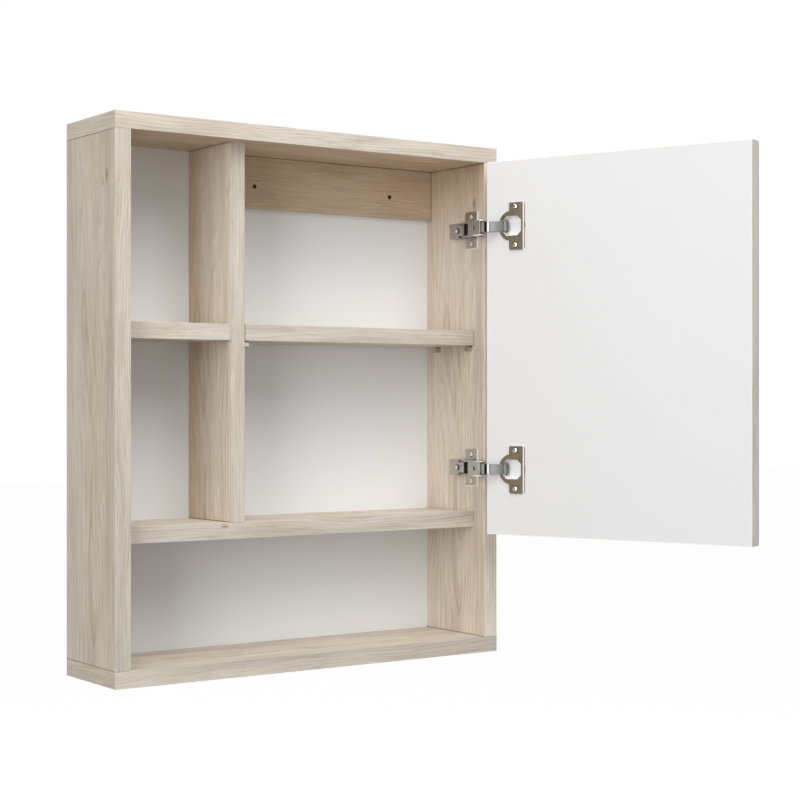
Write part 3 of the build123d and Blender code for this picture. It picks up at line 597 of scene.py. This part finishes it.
# Screws of the hinges. "under" lists radius and depth below the head, from the rim to the tip, "bright" and
# "cross" are shares of the radius, outside and inside of which the head gets painted shade, and "mirror" says
# how much of a mirror the metal is.
adjusterAlong, adjusterOut = 0.026, 0.0069     # from the arm's pivot
plateScrewStep, cupScrewStep = 0.016, 0.0225   # half the distance between two screws


def adjusterPlace(level):
    bridgeAlong, bridgeIn = pointsAlong(armPivot, bridgePivot)
    pivot = Vector(raised(armPivot, level))
    return pivot + adjusterAlong * Vector(bridgeAlong) - adjusterOut * Vector(bridgeIn)


screwFinish = {"colour": (0.92, 0.91, 0.88), "rough": 0.12, "brush": even}
headRings = (0.16, 0.48, 0.72, 0.90)           # shares of the head's radius
roundSteps = 24
crossHalfAngle = 15                            # degrees, to each side of an arm of the cross
sharpAngle = 35
bridgeIn = pointsAlong(armPivot, bridgePivot)[1]
intoDoor = tuple(-part for part in doorOut)
cupScrewRow = openCorner + 0.0388 * Vector(doorAlong) + 0.0025 * Vector(doorOut)
plateHead = {
    "radius": 0.0034, "crown": 0.0006, "recess": 0.0009,
    "under": [(0.00175, 0.0015), (0.00175, 0.0135), (0.0, 0.0140)],
    "bright": 0.78, "cross": 0.49, "crossShade": 0.95, "mirror": 0.35,
}
cupHead = {
    "radius": 0.0034, "crown": 0.0006, "recess": 0.0009,
    "under": [(0.0034, 0.0013), (0.00175, 0.0013), (0.00175, 0.0150), (0.0, 0.0155)],
    "bright": 0.82, "cross": 0.49, "crossShade": 1.0, "mirror": 0.9,
}
armHead = {
    "radius": 0.0035, "crown": 0.0006, "recess": 0.0009,
    "under": [(0.0035, 0.0012), (0.0020, 0.0012), (0.0020, 0.0097), (0.0, 0.0102)],
    "bright": 0.74, "cross": 0.49, "crossShade": 0.9, "mirror": 0.6,
}
adjusterHead = {
    "radius": 0.0024, "crown": 0.0004, "recess": 0.0006,
    "under": [(0.0024, 0.0009), (0.0012, 0.0009), (0.0012, 0.0038), (0.0, 0.0041)],
    "bright": 0.74, "cross": 0.49, "crossShade": 0.9, "mirror": 0.9,
}
screws = {
    "plate_screws": {"body": "case", "into": intoWall, "head": plateHead,
                     "centres": [(0.1565, -0.096, level + step) for level in hingeLevels.values()
                                 for step in (-plateScrewStep, plateScrewStep)]},
    "arm_screws": {"body": "case", "into": intoWall, "head": armHead,
                   "centres": [(0.1448, -0.0815, level) for level in hingeLevels.values()]},
    "cup_screws": {"body": "door", "into": intoDoor, "head": cupHead,
                   "centres": [cupScrewRow + Vector((0, 0, level + step)) for level in hingeLevels.values()
                               for step in (-cupScrewStep, cupScrewStep)]},
    "upper_hinge_adjusting_screw": {"body": "upper_bridge", "into": bridgeIn, "head": adjusterHead,
                                    "centres": [adjusterPlace(hingeLevels["upper"])]},
    "lower_hinge_adjusting_screw": {"body": "lower_bridge", "into": bridgeIn, "head": adjusterHead,
                                    "centres": [adjusterPlace(hingeLevels["lower"])]},
}


def oneScrew(head):
    # along +Z, the rim of its head at the origin
    build = bmesh.new()
    radius, crown = head["radius"], head["crown"]
    dome = [(radius * share, -crown * (1 - share * share)) for share in (0.0, *headRings, 1.0)]
    points = [build.verts.new((across, 0, depth)) for across, depth in dome + head["under"]]
    edges = [build.edges.new(pair) for pair in zip(points, points[1:])]
    bmesh.ops.spin(build, geom=points + edges, cent=(0, 0, 0), axis=(0, 0, 1), angle=math.radians(360),
                   steps=roundSteps, use_merge=True)
    bmesh.ops.remove_doubles(build, verts=build.verts, dist=0.000001)
    cross = []
    for face in build.faces:
        middle = face.calc_center_median()
        away = math.hypot(middle.x, middle.y)
        turn = abs((math.degrees(math.atan2(middle.y, middle.x)) + 45) % 90 - 45)
        onArm = away < headRings[1] * radius and turn < crossHalfAngle
        if middle.z < 0 and (away < headRings[0] * radius or onArm):
            cross.append(face)
    pressed = bmesh.ops.extrude_face_region(build, geom=cross)["geom"]
    pressed = [item for item in pressed if isinstance(item, bmesh.types.BMVert)]
    bmesh.ops.delete(build, geom=cross, context="FACES")
    bmesh.ops.translate(build, vec=(0, 0, head["recess"]), verts=pressed)
    bmesh.ops.recalc_face_normals(build, faces=build.faces)
    return build


for name, screw in screws.items():
    heads = {**screw["head"], "centres": screw["centres"], "into": screw["into"]}
    metal = metalMaterial(name + "Nickel", **screwFinish, heads=heads)
    turned = Vector((0, 0, 1)).rotation_difference(Vector(screw["into"])).to_matrix()
    together = bmesh.new()
    for centre in screw["centres"]:
        build = oneScrew(screw["head"])
        bmesh.ops.rotate(build, cent=(0, 0, 0), matrix=turned, verts=build.verts)
        bmesh.ops.translate(build, vec=centre, verts=build.verts)
        for face in build.faces:
            face.smooth = True
        for edge in build.edges:
            edge.smooth = edge.calc_face_angle(0.0) < math.radians(sharpAngle)
        single = bpy.data.meshes.new("oneScrew")
        build.to_mesh(single)
        build.free()
        together.from_mesh(single)
        bpy.data.meshes.remove(single)
    screwMesh = bpy.data.meshes.new(name + "Domed")
    together.to_mesh(screwMesh)
    together.free()
    piece = bpy.data.objects.new(name + "_domed", screwMesh)
    bpy.context.scene.collection.objects.link(piece)
    dress(piece, metal)
    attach(piece, screw["body"])
    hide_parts(name)
print("hinge screws modelled")


# Mirror, tape and beech
glass = {
    "silver": ((0.72, 0.76, 0.75), (0.745, 0.775, 0.77)),
    "edge": (0.50, 0.525, 0.515),
    "cloudScale": 5.0,
    "rough": (0.5, 0.01),     # at the edge and on the face
}
mirrorMaterial, mirrorTree, mirrorShader = newMaterial("silveredGlass")
mirrorCoordinates = put(mirrorTree, "TexCoord")
mirrorCloud = noise(mirrorTree, mirrorCoordinates.outputs["Object"], glass["cloudScale"]).outputs["Fac"]
mirrorTint = ramp(mirrorTree, mirrorCloud, [(0.3, glass["silver"][0]), (0.7, glass["silver"][1])])
mirrorLooks = {0: mirrorCoordinates.outputs["Normal"], 1: doorOut}
mirrorLooks = put(mirrorTree, "VectorMath", mirrorLooks, operation="DOT_PRODUCT").outputs["Value"]
mirrorFace = calculate(mirrorTree, "GREATER_THAN", calculate(mirrorTree, "ABSOLUTE", mirrorLooks), 0.7)
mirrorTint = blendColours(mirrorTree, (*glass["edge"], 1), mirrorTint, mirrorFace)
mirrorTree.links.new(mirrorTint, mirrorShader.inputs["Base Color"])
mirrorTree.links.new(mirrorFace, mirrorShader.inputs["Metallic"])
mirrorRough = spread(mirrorTree, mirrorFace, 0.0, 1.0, *glass["rough"])
mirrorTree.links.new(mirrorRough, mirrorShader.inputs["Roughness"])
dress(nodes["mirror_glass"], mirrorMaterial)


def mottledMaterial(name, first, second, scale, rough):
    material, tree, shader = newMaterial(name)
    place = put(tree, "TexCoord").outputs["Object"]
    spots = noise(tree, place, scale, 4.0).outputs["Fac"]
    tree.links.new(ramp(tree, spots, [(0.3, first), (0.7, second)]), shader.inputs["Base Color"])
    bump = put(tree, "Bump", {"Height": spots, "Strength": 0.2, "Distance": 0.0003})
    tree.links.new(bump.outputs[0], shader.inputs["Normal"])
    shader.inputs["Roughness"].default_value = rough
    return material


tape = {
    "name": "foamTape",
    "first": (0.60, 0.60, 0.58),
    "second": (0.72, 0.72, 0.70),
    "scale": 1200.0,
    "rough": 0.8,
}
beech = {
    "name": "rawBeech",
    "first": (0.52, 0.37, 0.22),
    "second": (0.62, 0.46, 0.29),
    "scale": 300.0,
    "rough": 0.7,
}
dress(nodes["mirror_tapes"], mottledMaterial(**tape))
dowelWood = mottledMaterial(**beech)
for name in ("case_dowels", "rail_dowels"):
    dress(nodes[name], dowelWood)
print("mirror, tape and dowels finished")


# Fine roundings: the boards' edges are sanded, sheet metal has broken edges
rounding = {
    "weld": 0.00001,
    "segments": 2,
    "angle": 40,              # degrees, from which an edge is rounded
    "widths": {               # by the end of a node's name
        "_bands": 0.00020,
        "_band": 0.00020,
        "_plate": 0.00035,
        "_flange": 0.00055,
        "_arm": 0.00025,
        "_bridge": 0.00025,
        "_glass": 0.00040,
    },
}


def soften(piece, width):
    weld = piece.modifiers.new("weld", "WELD")
    weld.merge_threshold = rounding["weld"]
    bevel = piece.modifiers.new("bevel", "BEVEL")
    bevel.width = width
    bevel.segments = rounding["segments"]
    bevel.limit_method = "ANGLE"
    bevel.angle_limit = math.radians(rounding["angle"])
    bevel.harden_normals = True


for name, piece in nodes.items():
    for ending, width in rounding["widths"].items():
        if name.endswith(ending):
            soften(piece, width)
            break
print("edges rounded")
